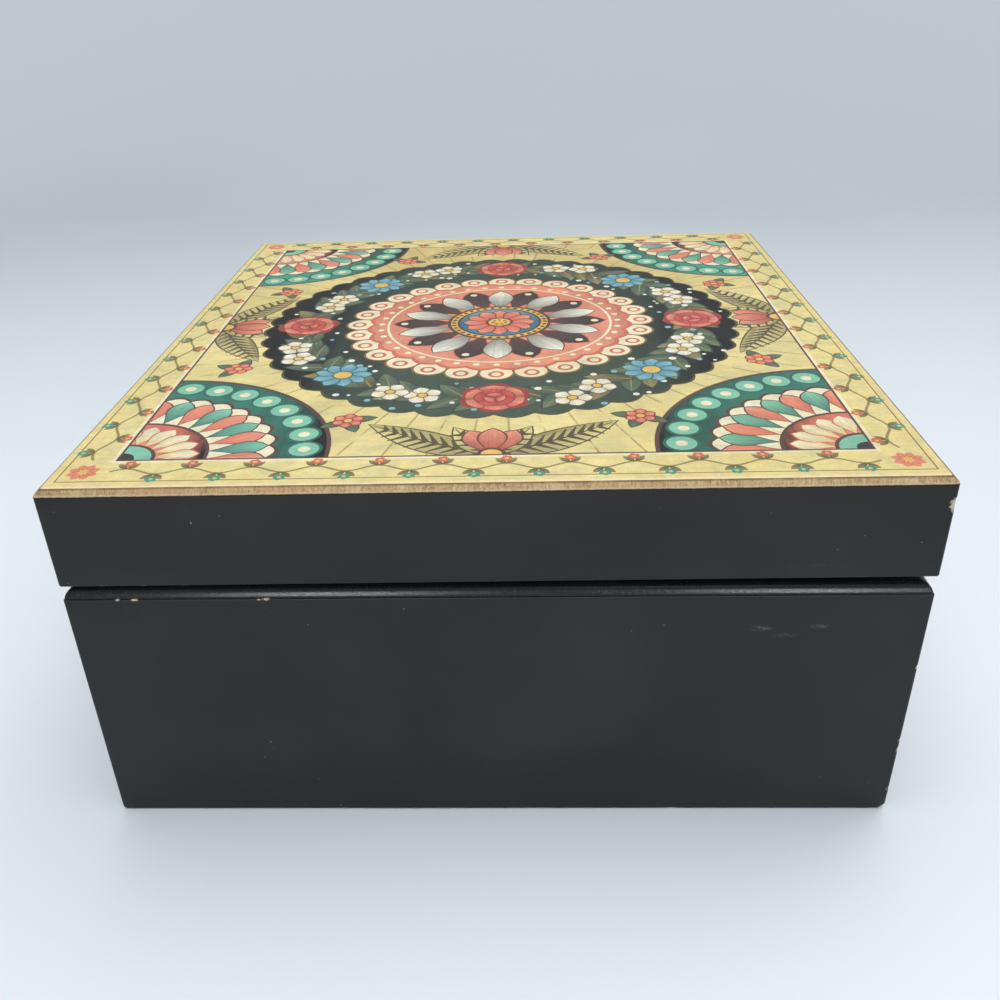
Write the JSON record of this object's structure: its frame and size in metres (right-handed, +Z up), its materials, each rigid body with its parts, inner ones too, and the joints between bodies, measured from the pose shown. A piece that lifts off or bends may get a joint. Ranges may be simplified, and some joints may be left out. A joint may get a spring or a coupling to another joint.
{
  "type": "musical jewellery box",
  "caption": "Black wooden jewellery box with a hinged picture lid, mirror, velvet wells and ring rolls, and a key-wound cylinder-and-comb movement that plays when the lid is open.",
  "frame": {"origin": "on the table, under the middle of the box measured over its hinge knuckles", "axes": "+Z up, -Y towards the side that opens, +Y towards the hinges, +X to the right of someone opening the box"},
  "size_m": [0.162, 0.1553, 0.074],
  "materials": {
    "black_paint": "satin black paint",
    "bare_wood": "sanded bare wood",
    "plywood": "raw board",
    "picture": "printed and varnished",
    "velvet": "flocked velvet",
    "mirror": "polished",
    "clear_plastic": "clear",
    "brass": "polished",
    "steel": "brushed",
    "cast_zinc": "as cast",
    "nylon": "moulded"
  },
  "bodies": {
    "base": {"base_front_wall": "black_paint", "base_back_wall": "black_paint", "base_left_wall": "black_paint", "base_right_wall": "black_paint", "base_floor": "plywood", "lining_front": "velvet", "lining_back": "velvet", "lining_left": "velvet", "lining_right": "velvet", "long_divider": "velvet", "bay_divider": "velvet", "well_pad": "velvet", "ring_roll_1": "velvet", "ring_roll_2": "velvet", "ring_roll_3": "velvet", "ring_roll_4": "velvet", "movement_cover": "clear_plastic", "hinge_left_base_leaf": "brass", "hinge_left_pin": "brass", "hinge_left_base_screw_1": "brass", "hinge_left_base_screw_2": "brass", "hinge_right_base_leaf": "brass", "hinge_right_pin": "brass", "hinge_right_base_screw_1": "brass", "hinge_right_base_screw_2": "brass", "movement_bedplate": "cast_zinc", "comb": "steel", "comb_screw_1": "steel", "comb_screw_2": "steel", "movement_screw_1": "steel", "movement_screw_2": "steel", "movement_screw_3": "steel", "governor_bracket": "cast_zinc", "stop_spring": "steel"},
    "lid": {"lid_front_wall": "black_paint", "lid_back_wall": "black_paint", "lid_left_wall": "black_paint", "lid_right_wall": "black_paint", "lid_top_panel": "bare_wood", "lid_picture": "picture", "lid_mirror": "mirror", "mirror_surround": "velvet", "hinge_left_lid_leaf": "brass", "hinge_left_lid_screw_1": "brass", "hinge_left_lid_screw_2": "brass", "hinge_right_lid_leaf": "brass", "hinge_right_lid_screw_1": "brass", "hinge_right_lid_screw_2": "brass"},
    "winding": {"winding_arbor": "steel", "winding_key": "brass"},
    "barrel": {"spring_barrel": "brass", "mainspring": "steel"},
    "cylinder": {"tune_cylinder": "brass", "cylinder_arbor": "steel", "cylinder_pinion": "nylon", "governor_drive_wheel": "nylon"},
    "governor_wheel": {"governor_wheel": "nylon"},
    "governor_worm": {"governor_worm": "steel"},
    "stop_rod": {"stop_rod": "bare_wood"},
    "stop_lever": {"stop_lever": "steel"}
  },
  "joints": [
    {"name": "lid_hinge", "type": "hinge", "parent": "base", "child": "lid", "pos_m": [0, 0.0761, 0.05385], "axis": [-1, 0, 0], "range_deg": [0, 100]},
    {"name": "key_turn", "type": "hinge", "parent": "base", "child": "winding", "pos_m": [0.02378, 0.03727, 0.007], "axis": [0, 0, 1], "continuous": true},
    {"name": "cylinder_turn", "type": "hinge", "parent": "base", "child": "cylinder", "pos_m": [0.04948, 0.03727, 0.0336], "axis": [1, 0, 0], "continuous": true},
    {"name": "barrel_turn", "type": "hinge", "parent": "base", "child": "barrel", "pos_m": [0.02378, 0.03727, 0.02455], "axis": [0, 0, 1], "continuous": true},
    {"name": "governor_wheel_turn", "type": "hinge", "parent": "base", "child": "governor_wheel", "pos_m": [0.06188, 0.04737, 0.0336], "axis": [1, 0, 0], "continuous": true},
    {"name": "governor_worm_turn", "type": "hinge", "parent": "base", "child": "governor_worm", "pos_m": [0.06188, 0.0535, 0.0336], "axis": [0, 0, 1], "continuous": true},
    {"name": "stop_rod_slide", "type": "slide", "parent": "base", "child": "stop_rod", "axis": [0, 0, 1], "range_m": [0, 0.0021]},
    {"name": "stop_lever_rock", "type": "hinge", "parent": "base", "child": "stop_lever", "pos_m": [0.05403, 0.05718, 0.0431], "axis": [0, 1, 0], "range_deg": [0, 11.6], "deforming": ["stop_spring"]}
  ],
  "couplings": [
    {"joint": "barrel_turn", "follows": "cylinder_turn", "ratio": 0.41667},
    {"joint": "governor_wheel_turn", "follows": "cylinder_turn", "ratio": -3},
    {"joint": "governor_worm_turn", "follows": "cylinder_turn", "ratio": 48},
    {"joint": "stop_rod_slide", "follows": "lid_hinge", "m_per_rad": 0.0011459},
    {"joint": "stop_lever_rock", "follows": "lid_hinge", "ratio": 0.11459}
  ]
}
